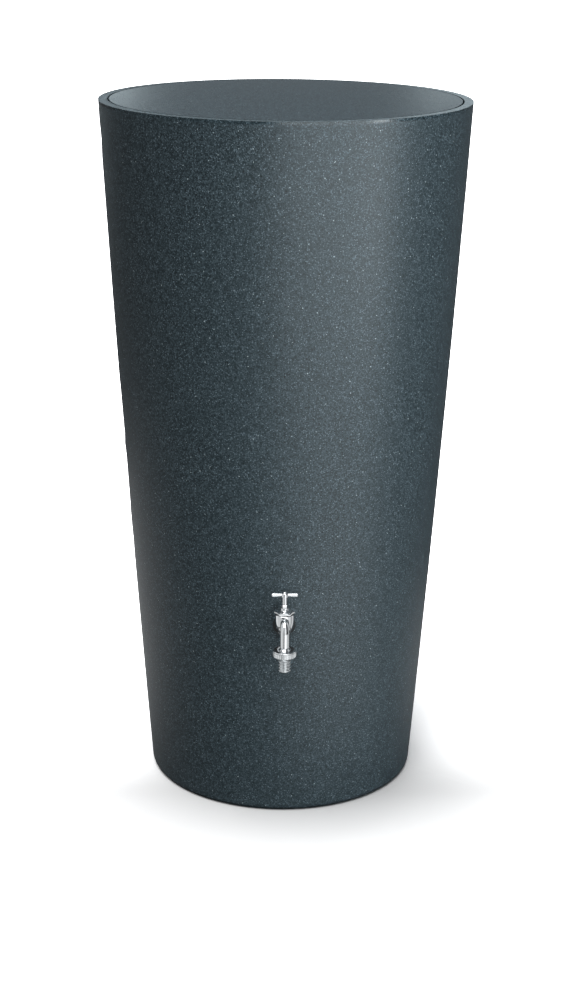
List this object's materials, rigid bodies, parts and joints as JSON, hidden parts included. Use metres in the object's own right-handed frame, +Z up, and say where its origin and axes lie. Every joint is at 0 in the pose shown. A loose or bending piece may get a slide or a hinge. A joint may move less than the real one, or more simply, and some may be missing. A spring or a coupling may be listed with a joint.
{
  "type": "rain barrel",
  "caption": "Tapered plastic rain barrel with a flush lift-off lid, a screw-down bib tap with a hose tail low on the front, and a rain inlet high on the back.",
  "frame": {"origin": "centre of the foot, on the ground, on the barrel's axis", "axes": "+Z up along the barrel's axis; the tap is on the -Y side; the rain inlet is on the +Y side"},
  "size_m": [0.5212, 0.5808, 1.006],
  "materials": {
    "barrel_plastic": "granite effect, satin",
    "lid_plastic": "granite effect, satin",
    "tap_chrome": "polished",
    "satin_chrome": "satin",
    "valve_brass": "turned",
    "black_rubber": "matte",
    "black_plastic": "moulded, satin"
  },
  "bodies": {
    "barrel": {"barrel_shell": "barrel_plastic", "tap_insert": "valve_brass", "tap_seal": "black_rubber", "tap_body": "tap_chrome", "bonnet_gasket": "black_rubber", "bonnet": "tap_chrome", "gland_packing": "black_rubber", "gland_nut": "tap_chrome", "union_gasket": "black_rubber", "union_nut": "satin_chrome", "hose_tail": "satin_chrome", "inlet_seal": "black_rubber", "inlet_connector": "black_plastic", "inlet_nut": "black_plastic"},
    "lid": {"lid": "lid_plastic"},
    "valve": {"valve_jumper": "valve_brass", "valve_washer": "black_rubber", "jumper_nut": "valve_brass"},
    "spindle": {"spindle": "tap_chrome", "tap_handle": "tap_chrome", "handle_screw": "tap_chrome"}
  },
  "joints": [
    {"name": "lid_lift", "type": "slide", "parent": "barrel", "child": "lid", "axis": [0, 0, 1], "range_m": [0, 0.3]},
    {"name": "valve_lift", "type": "slide", "parent": "barrel", "child": "valve", "axis": [0, 0, 1], "range_m": [0, 0.0045]},
    {"name": "handle_turn", "type": "hinge", "parent": "valve", "child": "spindle", "pos_m": [0, -0.24392, 0.3543], "axis": [0, 0, 1], "range_deg": [0, 810.1]}
  ],
  "couplings": [
    {"joint": "handle_turn", "follows": "valve_lift", "rad_per_m": 3141.6}
  ]
}
